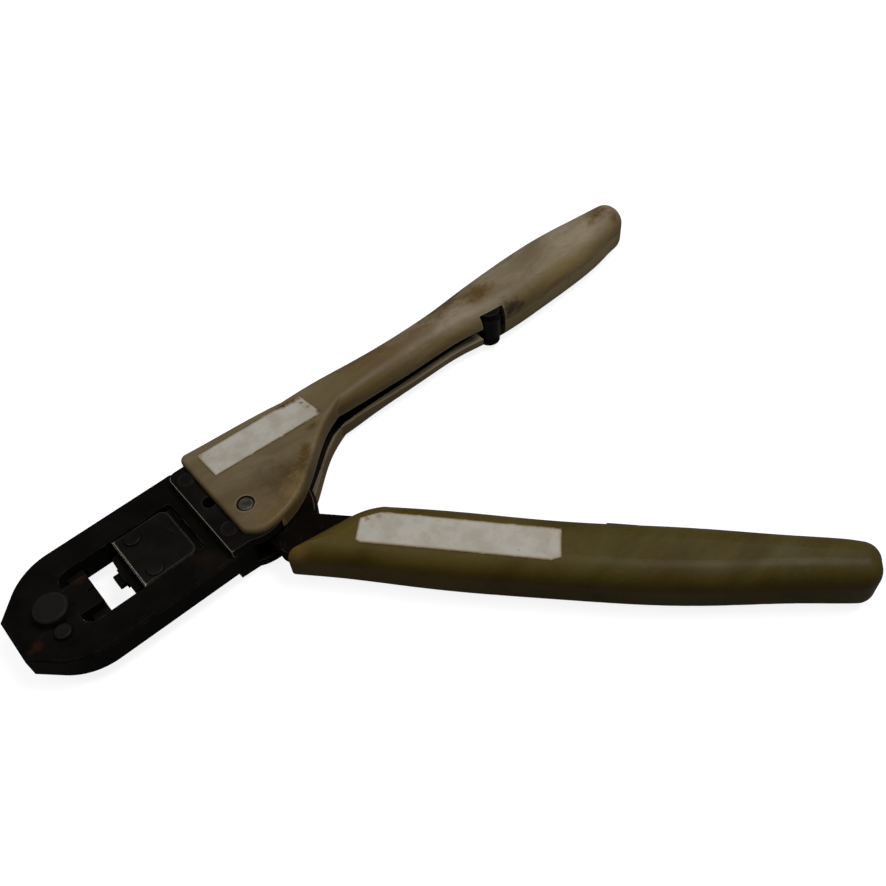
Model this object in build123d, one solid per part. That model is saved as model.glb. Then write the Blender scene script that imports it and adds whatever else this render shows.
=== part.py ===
from build123d import *
import math
import os

os.makedirs("parts", exist_ok=True)

# Ratchet crimping tool, lying on its side. X runs from the nose to the handles along the
# ram axis, Y points to the fixed handle's back and Z up from the face it rests on.
# X = 0 is the handle pivot, Y = 0 the ram axis. Heights in the functions are measured
# from the mid-plane of the tool and lifted at the end.

# Stack through the thickness
half_thick = 10.4
frame_thick = 9.5
plate_thick = 3.2
fit_gap = 0.05
slide_gap = 0.15

# Head frame
head_half = 22.25
nose_centre_x = -58.0
tip_x = -80.6
frame_edge_chamfer = 0.8
shoulder_x = -11.6
shoulder_length = 4.2
shoulder_depth = 2.05
rear_half = head_half - shoulder_depth
lower_rear_x = -6.0
frame_rear_x = -3.2
window_front_x = -60.5
window_rear_x = -17.8
window_half = 11.4
window_front_corner = 4.0
window_rear_corner = 1.0
bridge_length = 5.4
bay_half = 7.2
bay_low = -9.8
bay_step_length = 1.8

# Handle pivot and lever
pivot_y = -10.5
pivot_pin_r = 2.6
crank_radius = 10.5
open_angle = -48.0
handle_travel = 48.3
hub_r = 5.2
hub_thick = 4.4
tang_thick = 6.4
tang_inner = 2.8
tang_outer = -13.0
tang_length = 150.0
tang_start = 14.0

# Ratchet
ratchet_tip_r = 24.0
ratchet_tooth_height = 1.6
ratchet_first = 5.0
ratchet_last = 45.0
ratchet_teeth = 14
pawl_angle = 49.0
pawl_centre_r = 30.5
pawl_length = 7.4
pawl_lean = 30.0
pawl_boss_r = 3.4
pawl_pin_r = 2.0

# Ram and dies
ram_front_x = -40.0
ram_rear_x = -20.0
ram_half = 10.95
ram_thick = 9.3
ram_corner = 3.0
ram_inset = 0.15
stem_half = 5.0
stem_thick = 4.6
tongue_gap = 0.2
moving_die_reach = 3.1
moving_die_top = 1.2
shoulder_step = 0.6
shoulder_width = 0.8
tenon_length = 2.8
tenon_half = 2.35
tenon_top = 0.3
tenon_low = -1.8
tenon_play = 0.25
die_pin_x = -34.2
die_pin_y = 7.5
die_pin_r = 2.0
die_pin_head_r = 3.0
die_pin_rise = 0.9
die_half = 8.0
ram_rivet_x = -26.0
ram_rivet_y = 5.5
ram_rivet_r = 1.5
drive_pin_r = 2.5
drive_pin_length = 9.2
yoke_thick = 7.2
yoke_wall = 2.0
nest_half = 6.2
nest_step_height = 0.8
nest_length = 8.3
shank_r = 4.0
shank_length = 11.5

# Head fasteners
retainer_x = -66.2
retainer_head_r = 5.45
retainer_head_height = 4.1
retainer_shaft_r = 3.0
lock_x = -67.0
lock_y = -8.45
lock_head_r = 2.8
lock_head_height = 1.7
lock_shaft_r = 1.5
lock_depth = 6.0
cover_pin_x = -8.8
cover_pin_y = 13.3
cover_pin_r = 2.6
cover_pin_rise = 0.5
sight_hole_x = -8.1
sight_hole_r = 2.45

# Side plates
plate_front_x = -13.3
plate_lower_y = -21.6
plate_upper_y = 18.8
plate_corner = 3.0
ear_r = 13.0
plate_rear_x = 126.0
plate_back_y = 15.6
plate_inner_y = 4.4
spacer_r = 4.0
spacer_xs = (62.0, 100.0)
spacer_y = 10.4
screw_r = 1.6
screw_head_r = 3.0
screw_head_height = 1.0
screw_recess = 0.2
screw_tip_z = 9.4

# Casing of the fixed handle
casing_front_x = -6.6
casing_top_y = 21.6
head_round = 1.6
head_end_x = 56.0
grip_round = 7.4
end_round = 5.6
grip_half_thick = 10.35
casing_end_x = 196.8
neck_inner_y = 1.7
slot_half_head = 3.9
slot_half_neck = 2.6
slot_taper_start = 30.0
slot_taper_end = 58.0
pivot_hole_r = 3.1

# Stop wheel in the casing's inner face
wheel_x = 119.2
wheel_pin_y = 2.85
wheel_r = 4.45
wheel_boss_r = 4.2
wheel_offset = 0.4
wheel_pin_r = 1.6
wheel_pocket_front = wheel_x - 5.4
wheel_pocket_rear = wheel_x + 5.0
wheel_pocket_half = 8.0
washer_thick = 0.5

# Moving grip and striker
grip_front = 16.3
grip_nose_n = -13.8
nose_corner = 2.5
nose_arch = 25.0
nose_top_n = 6.2
grip_end = 199.6
front_round = 7.0
striker_start = wheel_x - 3.0
striker_length = 11.4
striker_n = 7.3
striker_thick = 6.4
striker_foot = 2.6

# Springs
return_wire = 0.7
return_coil_r = 3.75
return_lead_angle = 115.0
pawl_wire = 0.6
pawl_coil_r = 2.7
pawl_lead_angle = -30.5
spring_turns = 2

plate_face_z = frame_thick / 2
plate_outer_z = plate_face_z + plate_thick
pivot = (0.0, pivot_y)


def polar(centre, radius, degrees):
    a = math.radians(degrees)
    return (centre[0] + radius * math.cos(a), centre[1] + radius * math.sin(a))


def disc(x, y, radius, z0, z1):
    return Pos(x, y, (z0 + z1) / 2) * Cylinder(radius, z1 - z0)


def block(x0, x1, y0, y1, z0, z1):
    return Pos((x0 + x1) / 2, (y0 + y1) / 2, (z0 + z1) / 2) * Box(x1 - x0, y1 - y0, z1 - z0)


def slab(face, z0, z1):
    return extrude(Pos(0, 0, z0) * face, z1 - z0)


def polygon(points):
    return make_face(Polyline(*points, close=True))


def chamfered_pin(x, y, radius, z0, z1, edge=0.4):
    pin = disc(x, y, radius, z0, z1)
    return chamfer(pin.edges().filter_by(GeomType.CIRCLE), edge)


def domed_pin(x, y, radius, z0, z1, dome=0.45):
    pin = disc(x, y, radius, z0, z1)
    return fillet(pin.edges().filter_by(GeomType.CIRCLE), dome)


def stroke():
    return 2 * crank_radius * math.sin(math.radians(handle_travel / 2))


def crank_rest():
    # The crank swings the same angle to each side of square to the ram axis.
    return polar(pivot, crank_radius, 90 - handle_travel / 2)


# Head frame

def frame_outline():
    corner = head_half * math.sin(math.radians(45))
    tip_half = corner - (nose_centre_x - corner - tip_x)
    mid = (nose_centre_x - head_half * math.sin(math.radians(22.5)),
           head_half * math.cos(math.radians(22.5)))
    upper = Line((tip_x, -tip_half), (tip_x, tip_half))
    upper += Line((tip_x, tip_half), (nose_centre_x - corner, corner))
    upper += ThreePointArc((nose_centre_x - corner, corner), mid, (nose_centre_x, head_half))
    upper += Polyline((nose_centre_x, head_half), (shoulder_x, head_half),
                      (shoulder_x + shoulder_length, rear_half), (frame_rear_x, rear_half),
                      (frame_rear_x, -rear_half), (lower_rear_x, -head_half),
                      (nose_centre_x, -head_half))
    upper += ThreePointArc((nose_centre_x, -head_half), (mid[0], -mid[1]),
                           (nose_centre_x - corner, -corner))
    upper += Line((nose_centre_x - corner, -corner), (tip_x, -tip_half))
    return make_face(upper)


def frame_window():
    length = window_rear_x - window_front_x
    middle = (window_rear_x + window_front_x) / 2
    hole = Pos(middle, 0, 0) * Box(length, 2 * window_half, frame_thick + 2)
    upright = hole.edges().filter_by(Axis.Z)
    hole = fillet(upright.sort_by(Axis.X)[:2], window_front_corner)
    upright = hole.edges().filter_by(Axis.Z)
    return fillet(upright.sort_by(Axis.X)[-2:], window_rear_corner)


def make_frame():
    top = frame_thick / 2
    body = slab(frame_outline(), -top, top)
    rims = body.edges().group_by(Axis.Z)
    body = chamfer(rims[0] + rims[-1], frame_edge_chamfer)
    body -= frame_window()
    bay_front = window_rear_x + bridge_length
    body -= block(bay_front, 0, bay_low, bay_half, -top - 1, top + 1)
    # The yoke dips under the plates' front edge when the dies close.
    dip = yoke_thick / 2 + slide_gap
    body -= block(bay_front - bay_step_length, bay_front + 1, bay_low, bay_half, -dip, dip)
    channel_half = stem_half + slide_gap
    channel_top = stem_thick / 2 + slide_gap
    body -= block(window_rear_x - 1, bay_front + 1, -channel_half, channel_half,
                  -channel_top, channel_top)
    body -= disc(*pivot, hub_r + 0.4, -top - 1, top + 1)
    for y in (-cover_pin_y, cover_pin_y):
        body -= disc(cover_pin_x, y, cover_pin_r + fit_gap, -top - 1, top + 1)
    bore = Pos(window_front_x - shank_length / 2, 0, 0) * Rot(0, 90, 0)
    body -= bore * Cylinder(shank_r + fit_gap, shank_length + 1)
    body -= disc(retainer_x, 0, retainer_shaft_r + fit_gap, -top - 1, top + 1)
    body -= disc(lock_x, lock_y, lock_shaft_r + fit_gap, top - lock_depth - 0.5, top + 1)
    return body


def make_die_retainer():
    top = frame_thick / 2
    head = disc(retainer_x, 0, retainer_head_r, top, top + retainer_head_height)
    head = chamfer(head.edges().filter_by(GeomType.CIRCLE).sort_by(Axis.Z)[-1], 0.5)
    return head + disc(retainer_x, 0, retainer_shaft_r, -top + 0.1, top + 0.5)


def make_lock_screw():
    top = frame_thick / 2
    head = disc(lock_x, lock_y, lock_head_r, top, top + lock_head_height)
    head = fillet(head.edges().filter_by(GeomType.CIRCLE).sort_by(Axis.Z)[-1], 0.7)
    return head + disc(lock_x, lock_y, lock_shaft_r, top - lock_depth, top + 0.4)


# Dies

def make_stationary_die():
    top = ram_thick / 2
    face_x = window_front_x + slide_gap + nest_length
    body = block(window_front_x + slide_gap, face_x, -nest_half, nest_half, -top, top)
    wing_half = window_half - slide_gap
    wings = block(face_x - nest_length * 0.67, face_x, -wing_half, wing_half, -top, nest_step_height)
    body += wings
    shank = Pos(window_front_x + slide_gap - shank_length / 2, 0, 0) * Rot(0, 90, 0)
    body += shank * Cylinder(shank_r, shank_length)
    body -= disc(retainer_x, 0, retainer_shaft_r + fit_gap, -top - 1, top + 1)
    # The moving die's tenon and its shoulders enter here when the dies close.
    pocket_half = tenon_half + tenon_play
    body -= block(face_x - tenon_length - 0.4, face_x + 1, -pocket_half, pocket_half,
                  tenon_low - tenon_play, tenon_top + tenon_play)
    recess_half = tenon_half + shoulder_width + tenon_play
    body -= block(face_x - shoulder_step, face_x + 1, -recess_half, recess_half,
                  -stem_thick / 2 - tenon_play, moving_die_top + tenon_play)
    groove = block(face_x - 1.9, face_x + 1, -0.65, 0.65, tenon_top, top + 1)
    return body - groove - disc(face_x - 1.9, 0, 0.65, tenon_top, top + 1)


def make_moving_die():
    top = stem_thick / 2
    face_x = ram_front_x - moving_die_reach
    back_x = ram_front_x + 9.8
    body = block(face_x, back_x, -die_half, die_half, -top, moving_die_top)
    body = fillet(body.edges().filter_by(Axis.Z).sort_by(Axis.X)[:2], 1.5)
    body += block(ram_front_x + ram_inset, back_x, -ram_half, ram_half, -top, top)
    shoulder = tenon_half + shoulder_width
    body += block(face_x - shoulder_step, face_x + 0.5, -shoulder, shoulder, -top, moving_die_top)
    tenon = block(face_x - tenon_length, face_x + 1, -tenon_half, tenon_half, tenon_low, tenon_top)
    body += fillet(tenon.edges().filter_by(Axis.Z).sort_by(Axis.X)[:2], 0.4)
    for y in (-die_pin_y, die_pin_y):
        body -= disc(die_pin_x, y, die_pin_r + fit_gap, -top - 1, top + 1)
    return body


# Ram

def make_ram_plate(side):
    z0, z1 = sorted((side * (stem_thick / 2 + fit_gap), side * ram_thick / 2))
    body = block(ram_front_x, ram_rear_x, -ram_half, ram_half, z0, z1)
    body = fillet(body.edges().filter_by(Axis.Z).sort_by(Axis.X)[-2:], ram_corner)
    outer = body.faces().sort_by(Axis.Z)[-1 if side > 0 else 0]
    body = chamfer(outer.edges(), 0.4)
    for y in (-die_pin_y, die_pin_y):
        body -= disc(die_pin_x, y, die_pin_r + fit_gap, z0 - 1, z1 + 1)
    for y in (-ram_rivet_y, ram_rivet_y):
        body -= disc(ram_rivet_x, y, ram_rivet_r + fit_gap, z0 - 1, z1 - 0.9 if side > 0 else z1 + 1)
    return body


def make_ram_stem():
    top = stem_thick / 2
    crank = crank_rest()
    body = block(ram_front_x + 10.0, window_rear_x - tongue_gap, -ram_half, ram_half, -top, top)
    body = fillet(body.edges().filter_by(Axis.Z).sort_by(Axis.X)[-2:], 1.0)
    wall_x = crank[0] - 7.0
    body += block(ram_front_x + 10.5, wall_x, -stem_half, stem_half, -top, top)
    for y in (-ram_rivet_y, ram_rivet_y):
        body -= disc(ram_rivet_x, y, ram_rivet_r + fit_gap, -top - 1, top + 1)
    # The yoke straddles the crank, and its two slots let the drive pin rise and fall.
    drop = crank_radius * (1 - math.cos(math.radians(handle_travel / 2)))
    slot_r = drive_pin_r + 0.1
    low = -drop - slot_r - yoke_wall
    high = slot_r + yoke_wall
    rear = crank[0] + slot_r + yoke_wall
    half = yoke_thick / 2
    yoke = block(wall_x - 2.4, rear, low, high, -half, half)
    yoke = fillet(yoke.edges().filter_by(Axis.Z).sort_by(Axis.X)[-2:], 2.0)
    gap = hub_thick / 2 + 0.2
    yoke -= block(wall_x, rear + 1, low - 1, high + 1, -gap, gap)
    slot = block(crank[0] - slot_r, crank[0] + slot_r, -drop, 0, -half - 1, half + 1)
    slot += disc(crank[0], -drop, slot_r, -half - 1, half + 1)
    slot += disc(crank[0], 0, slot_r, -half - 1, half + 1)
    return body + yoke - slot


def make_ram_rivets():
    top = ram_thick / 2
    return [disc(ram_rivet_x, y, ram_rivet_r, -top, top - 1.0) for y in (-ram_rivet_y, ram_rivet_y)]


def make_die_pins():
    top = ram_thick / 2
    pins = []
    for y in (-die_pin_y, die_pin_y):
        head = disc(die_pin_x, y, die_pin_head_r, top, top + die_pin_rise)
        head = fillet(head.edges().filter_by(GeomType.CIRCLE).sort_by(Axis.Z)[-1], 0.6)
        pins.append(head + disc(die_pin_x, y, die_pin_r, -top, top + 0.2))
    return pins


def make_drive_pin():
    x, y = crank_rest()
    half = drive_pin_length / 2
    return chamfered_pin(x, y, drive_pin_r, -half, half, 0.3)


# Side plates

def plate_outline():
    ear_end = polar(pivot, ear_r, -62)
    front_low = (plate_front_x, plate_lower_y)
    front_high = (plate_front_x, plate_upper_y - plate_corner)
    bend = plate_corner * math.sin(math.radians(45))
    corner_mid = (plate_front_x + plate_corner - bend, plate_upper_y - plate_corner + bend)
    corner_end = (plate_front_x + plate_corner, plate_upper_y)
    back = [corner_end, (8.0, plate_upper_y), (34.0, plate_back_y), (plate_rear_x, plate_back_y),
            (plate_rear_x, plate_inner_y), (60.0, plate_inner_y)]
    line = Line(front_low, front_high)
    line += ThreePointArc(front_high, corner_mid, corner_end)
    line += Polyline(*back, (50.0, 4.4), (43.0, 2.6), (37.0, -1.2), (26.0, -9.6), (17.0, -16.0), ear_end)
    line += ThreePointArc(ear_end, polar(pivot, ear_r, -90), polar(pivot, ear_r, -118))
    line += Line(polar(pivot, ear_r, -118), front_low)
    return make_face(line)


def make_side_plate(side):
    z0, z1 = sorted((side * plate_face_z, side * plate_outer_z))
    body = slab(plate_outline(), z0, z1) + disc(wheel_x, wheel_pin_y, wheel_boss_r, z0, z1)
    body -= disc(*pivot, pivot_pin_r + fit_gap, z0 - 1, z1 + 1)
    body -= disc(sight_hole_x, 0, sight_hole_r, z0 - 1, z1 + 1)
    body -= disc(*polar(pivot, pawl_centre_r, pawl_angle), pawl_pin_r + fit_gap, z0 - 1, z1 + 1)
    body -= disc(wheel_x, wheel_pin_y, wheel_pin_r + fit_gap, z0 - 1, z1 + 1)
    for y in (-cover_pin_y, cover_pin_y):
        body -= disc(cover_pin_x, y, cover_pin_r + fit_gap, z0 - 1, z1 + 1)
    for x in spacer_xs:
        body -= disc(x, spacer_y, screw_r + fit_gap, z0 - 1, z1 + 1)
    return body


def make_cover_pins():
    reach = plate_outer_z + cover_pin_rise
    return [chamfered_pin(cover_pin_x, y, cover_pin_r, -reach, reach) for y in (-cover_pin_y, cover_pin_y)]


def make_spacers():
    tubes = []
    for x in spacer_xs:
        tube = disc(x, spacer_y, spacer_r, -plate_face_z, plate_face_z)
        tubes.append(tube - disc(x, spacer_y, screw_r + fit_gap, -plate_face_z - 1, plate_face_z + 1))
    return tubes


def make_casing_screws():
    screws = []
    low = -half_thick + screw_recess
    for x in spacer_xs:
        screw = disc(x, spacer_y, screw_r, low, screw_tip_z)
        head = disc(x, spacer_y, screw_head_r, low, low + screw_head_height)
        cut = block(x - 4, x + 4, spacer_y - 0.4, spacer_y + 0.4, low - 1, low + 0.6)
        screws.append(screw + head - cut)
    return screws


# Lever of the moving handle, drawn along its own axis and then swung open

def on_lever(shape):
    return Pos(0, pivot_y, 0) * Rot(0, 0, open_angle) * shape


def ratchet_face():
    # Saw teeth along the rim: a steep face and a long back, in the lever's own angles.
    first = ratchet_first - open_angle
    last = ratchet_last - open_angle
    step = (last - first) / ratchet_teeth
    root_r = ratchet_tip_r - ratchet_tooth_height
    points = [(0, 0)]
    for a in range(2, int(first), 12):
        points.append(polar((0, 0), root_r, a))
    for i in range(ratchet_teeth):
        a = first + i * step
        points.append(polar((0, 0), root_r, a))
        points.append(polar((0, 0), ratchet_tip_r, a + 0.35 * step))
        points.append(polar((0, 0), ratchet_tip_r, a + 0.6 * step))
    points.append(polar((0, 0), root_r, last))
    points.append(polar((0, 0), hub_r, last))
    return polygon(points)


def make_lever():
    half = hub_thick / 2
    crank_angle = 90 - handle_travel / 2 - open_angle
    crank = polar((0, 0), crank_radius, crank_angle)
    web = slab(ratchet_face(), -half, half)
    web += disc(0, 0, hub_r, -half, half)
    arm_end = drive_pin_r + 1.9
    web += disc(*crank, arm_end, -half, half)
    arm = Pos(*polar((0, 0), crank_radius / 2, crank_angle), 0) * Rot(0, 0, crank_angle)
    web += arm * Box(crank_radius, 2 * arm_end - 0.6, hub_thick)
    neck = polygon([(0, tang_inner), (tang_start + 6, tang_inner), (tang_start + 6, tang_outer),
                    (tang_start, tang_outer + 0.6), (10.4, -9.9), (3.0, -4.2)])
    web += slab(neck, -half, half)
    tang = polygon([(tang_start, tang_inner), (tang_length, tang_inner), (tang_length, -7.0),
                    (60.0, tang_outer + 1.0), (36.0, tang_outer), (15.5, tang_outer), (13.5, -12.1),
                    (tang_start - 2.0, -10.6)])
    bar = slab(tang, -tang_thick / 2, tang_thick / 2)
    body = web + bar
    body -= disc(0, 0, pivot_pin_r + fit_gap, -half - 2, half + 2)
    body -= disc(*crank, drive_pin_r + 0.02, -half - 2, half + 2)
    body -= striker_foot_block(0.05)
    return on_lever(body)


def make_pivot_pin():
    reach = half_thick - 0.1
    return domed_pin(0, pivot_y, pivot_pin_r, -reach, reach, 0.5)


def make_hub_washer():
    ring = disc(*pivot, 4.2, -plate_face_z + fit_gap, -hub_thick / 2 - fit_gap)
    return ring - disc(*pivot, pivot_pin_r + fit_gap, -plate_face_z - 1, 0)


def torsion_spring(radius, wire, pitch, first_leg, last_leg):
    turns = Helix(pitch=pitch, height=pitch * spring_turns, radius=radius)
    start, end = turns @ 0, turns @ 1
    lead = Line(start - (turns % 0) * first_leg, start)
    tail = Line(end, end + (turns % 1) * last_leg)
    path = Wire([lead, *turns.edges(), tail])
    profile = Plane(origin=path @ 0, z_dir=path % 0) * RegularPolygon(wire / 2, 6)
    return sweep(profile, path)


def make_return_spring():
    spring = torsion_spring(return_coil_r, return_wire, return_wire + 0.02, 2.0, 5.5)
    lift = hub_thick / 2 + 0.15 + return_wire / 2
    return Pos(*pivot, lift) * Rot(0, 0, return_lead_angle) * spring


def pawl_place():
    x, y = polar(pivot, pawl_centre_r, pawl_angle)
    return Pos(x, y, 0) * Rot(0, 0, pawl_angle + 180 - pawl_lean)


def make_pawl():
    half = hub_thick / 2 - 0.1
    flank = polygon([(0, pawl_boss_r), (pawl_length, 0.5), (pawl_length, -0.5), (0, -pawl_boss_r)])
    body = disc(0, 0, pawl_boss_r, -half, half) + slab(flank, -half, half)
    body -= disc(0, 0, pawl_pin_r + fit_gap, -half - 1, half + 1)
    return pawl_place() * body


def make_pawl_pin():
    x, y = polar(pivot, pawl_centre_r, pawl_angle)
    reach = plate_outer_z - 0.05
    return chamfered_pin(x, y, pawl_pin_r, -reach, reach, 0.3)


def make_pawl_spring():
    spring = torsion_spring(pawl_coil_r, pawl_wire, pawl_wire + 0.02, 1.5, 6.2)
    lift = hub_thick / 2 + 0.1 + pawl_wire / 2
    x, y = polar(pivot, pawl_centre_r, pawl_angle)
    return Pos(x, y, lift) * Rot(0, 0, pawl_lead_angle) * spring


# Casing of the fixed handle

def head_outline():
    # The flat-topped head, whose upper side runs into the rounded grip behind it.
    bend = 2.5
    corner = TangentArc((casing_front_x, casing_top_y - bend), (casing_front_x + bend, casing_top_y),
                        tangent=(0, 1))
    upper = Spline((casing_front_x + bend, casing_top_y), (10.0, 20.4), (26.0, 19.0), (38.0, 17.0),
                   (48.0, 14.0), (head_end_x, 11.5))
    ear = Spline((head_end_x, 6.6), (48.0, 3.6), (40.0, -0.4), (26.0, -11.5), (15.0, -19.2),
                 (4.0, -22.6))
    ear += Spline((4.0, -22.6), (-2.6, -22.0), (-5.7, -19.4), (casing_front_x, -15.5),
                  tangents=[ear % 1, (0, 1)])
    line = upper + Line(upper @ 1, ear @ 0) + ear + Line(ear @ 1, corner @ 0) + corner
    return make_face(line)


def cross_section(x, low, high, corner):
    corner = min(corner, 0.48 * (high - low))
    place = Plane(origin=(x, (low + high) / 2, 0), x_dir=(0, 1, 0), z_dir=(1, 0, 0))
    return place * RectangleRounded(high - low, 2 * grip_half_thick, corner)


def rounded_bar(stations):
    # A bar through sections of given lower edge, upper edge and corner, with a rounded far end.
    bar = loft([cross_section(*station) for station in stations])
    end_x = stations[-1][0]
    rim = [e for e in bar.edges() if abs(e.center().X - end_x) < 0.01]
    return fillet(rim, end_round)


def casing_body():
    head = slab(head_outline(), -half_thick, half_thick)
    rims = head.edges().group_by(Axis.Z)
    head = fillet([e for e in rims[0] + rims[-1] if e.center().X < head_end_x - 1], head_round)
    full = grip_round
    stations = [(32.0, 4.0, 18.4, 2.4), (48.0, 3.2, 18.6, 3.4), (60.0, 2.8, 18.4, 5.0),
                (74.0, 2.1, 18.3, 6.8), (90.0, 1.8, 18.2, full), (104.0, 1.4, 18.6, full),
                (116.0, -0.4, 19.6, full), (128.0, -1.5, 20.4, full), (146.0, -1.4, 21.1, full),
                (164.0, -0.8, 20.6, full), (182.0, 1.2, 18.6, full),
                (casing_end_x, 3.2, 16.0, 0.8 * full)]
    return head + rounded_bar(stations)


def slot_cut():
    # The slot between the halves, wide at the ear for the lever and narrow along the neck.
    profile = polygon([(casing_front_x - 20, -1), (casing_front_x - 20, slot_half_head),
                       (slot_taper_start, slot_half_head), (slot_taper_end, slot_half_neck),
                       (wheel_pocket_front + 1, slot_half_neck), (wheel_pocket_front + 1, -1)])
    place = Plane(origin=(0, neck_inner_y + 6, 0), x_dir=(1, 0, 0), z_dir=(0, -1, 0))
    return extrude(place * profile, 80)


def casing_shell():
    # One half, seen as the near one: from the mid-plane up to the flat outer face.
    body = casing_body() & block(-60, 260, -60, 60, 0, half_thick)
    nest = offset(plate_outline(), amount=slide_gap)
    body -= slab(nest, -1, plate_outer_z + fit_gap)
    rear = frame_rear_x + slide_gap
    side = rear_half + slide_gap
    body -= block(casing_front_x - 20, rear, -60, side, -1, plate_face_z)
    body -= slot_cut()
    body -= disc(*polar(pivot, pawl_centre_r, pawl_angle), pawl_boss_r + 0.6, -1, plate_face_z)
    body -= block(wheel_pocket_front, wheel_pocket_rear, -30, wheel_pin_y + 5, -1, wheel_pocket_half)
    body -= disc(*pivot, pivot_hole_r, -1, half_thick + 1)
    for y in (-cover_pin_y, cover_pin_y):
        body -= disc(cover_pin_x, y, cover_pin_r + slide_gap, -1, plate_outer_z + cover_pin_rise + slide_gap)
    return body


def make_casing_near():
    body = casing_shell()
    for x in spacer_xs:
        body -= disc(x, spacer_y, screw_r + fit_gap, 0, screw_tip_z + 0.2)
    return body


def make_casing_far():
    body = mirror(casing_shell(), about=Plane.XY)
    for x in spacer_xs:
        body -= disc(x, spacer_y, screw_r + fit_gap, -half_thick - 1, 0)
        seat = -half_thick + screw_recess + screw_head_height
        body -= disc(x, spacer_y, screw_head_r + 0.2, -half_thick - 1, seat)
    return body


# Stop wheel

def make_stop_wheel():
    half = plate_face_z - washer_thick - fit_gap
    body = disc(wheel_x, wheel_pin_y - wheel_offset, wheel_r, -half, plate_face_z - fit_gap)
    body = chamfer(body.edges().filter_by(GeomType.CIRCLE), 0.4)
    body -= disc(wheel_x, wheel_pin_y, wheel_pin_r + fit_gap, -half - 1, half + 2)
    return body


def make_wheel_washer():
    low = -plate_face_z
    ring = disc(wheel_x, wheel_pin_y, 3.2, low, low + washer_thick)
    return ring - disc(wheel_x, wheel_pin_y, wheel_pin_r + fit_gap, low - 1, low + 2)


def make_wheel_pin():
    reach = plate_outer_z
    return chamfered_pin(wheel_x, wheel_pin_y, wheel_pin_r, -reach, reach, 0.2)


# Moving grip

def grip_nose():
    # A block as long as the grip, slanted and rounded in front to clear the casing's ear.
    far = grip_end + 20.0
    shoulder = grip_front + 24.3
    side = polygon([(far, 9.0), (shoulder, nose_top_n), (grip_front, grip_nose_n), (grip_front + 3.0, -26.0),
                    (far, -26.0)])
    corners = side.vertices().sort_by(Axis.X)
    side = fillet([corners[0], corners[1]], nose_corner)
    side = fillet(side.vertices().sort_by_distance((shoulder, nose_top_n))[0], nose_arch)
    nose = slab(side, -half_thick, half_thick)
    rims = nose.edges().group_by(Axis.Z)
    front = [e for e in rims[0] + rims[-1] if e.center().X < 49.0]
    return fillet(front, front_round)


def make_moving_grip():
    full = grip_round
    stations = [(8.0, -15.6, 5.0, full), (34.0, -16.2, 6.0, full), (56.0, -17.2, 6.2, full),
                (84.0, -17.7, 5.7, full), (110.0, -17.4, 5.4, full), (132.0, -16.8, 6.1, full),
                (152.0, -15.1, 6.4, full), (174.0, -12.3, 6.3, full), (grip_end, -8.8, 4.0, 0.8 * full)]
    body = rounded_bar(stations) & grip_nose()
    gap = fit_gap
    tang = polygon([(10.0, tang_inner + gap), (tang_length + gap, tang_inner + gap),
                    (tang_length + gap, -7.0 - gap), (60.0, tang_outer + 1.0 - gap),
                    (36.0, tang_outer - gap), (10.0, tang_outer - gap)])
    body -= slab(tang, -tang_thick / 2 - gap, tang_thick / 2 + gap)
    body -= striker_foot_block(fit_gap)
    return on_lever(body)


def striker_foot_block(gap):
    x0 = striker_start - gap
    x1 = striker_start + striker_length + gap
    half = striker_thick / 2 + gap
    return block(x0, x1, tang_inner - striker_foot - gap, striker_n + 5, -half, half)


def make_striker():
    half = striker_thick / 2
    pad = block(striker_start, striker_start + striker_length, tang_inner - striker_foot, striker_n, -half, half)
    pad = chamfer(pad.edges().filter_by(Axis.Z).sort_by(Axis.Y)[-2:], 0.8)
    return on_lever(pad)


nodes = {
    "head_frame": make_frame,
    "side_plate_near": lambda: make_side_plate(1),
    "side_plate_far": lambda: make_side_plate(-1),
    "cover_pins": make_cover_pins,
    "die_retaining_screw": make_die_retainer,
    "lock_screw": make_lock_screw,
    "stationary_die": make_stationary_die,
    "moving_die": make_moving_die,
    "ram_plate_near": lambda: make_ram_plate(1),
    "ram_plate_far": lambda: make_ram_plate(-1),
    "ram_stem": make_ram_stem,
    "ram_rivets": make_ram_rivets,
    "die_pins": make_die_pins,
    "drive_pin": make_drive_pin,
    "lever": make_lever,
    "pivot_pin": make_pivot_pin,
    "hub_washer": make_hub_washer,
    "return_spring": make_return_spring,
    "pawl": make_pawl,
    "pawl_pin": make_pawl_pin,
    "pawl_spring": make_pawl_spring,
    "plate_spacers": make_spacers,
    "casing_screws": make_casing_screws,
    "casing_near": make_casing_near,
    "casing_far": make_casing_far,
    "stop_wheel": make_stop_wheel,
    "wheel_washer": make_wheel_washer,
    "wheel_pin": make_wheel_pin,
    "moving_grip": make_moving_grip,
    "striker_pad": make_striker,
}

for name, make in nodes.items():
    made = make()
    solids = made if isinstance(made, list) else [made]
    lifted = [Pos(0, 0, half_thick) * solid for solid in solids]
    shape = Compound(children=lifted) if len(lifted) > 1 else lifted[0]
    export_step(shape, "parts/" + name + ".step")
    print(name, round(sum(s.volume for s in solids), 1))

print("stroke", round(stroke(), 3), "drive pin", [round(v, 3) for v in crank_rest()])
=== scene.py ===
import bpy
import bmesh
from mathutils import Matrix, Vector
from mathutils.bvhtree import BVHTree
from mathutils.noise import noise as wander


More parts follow.
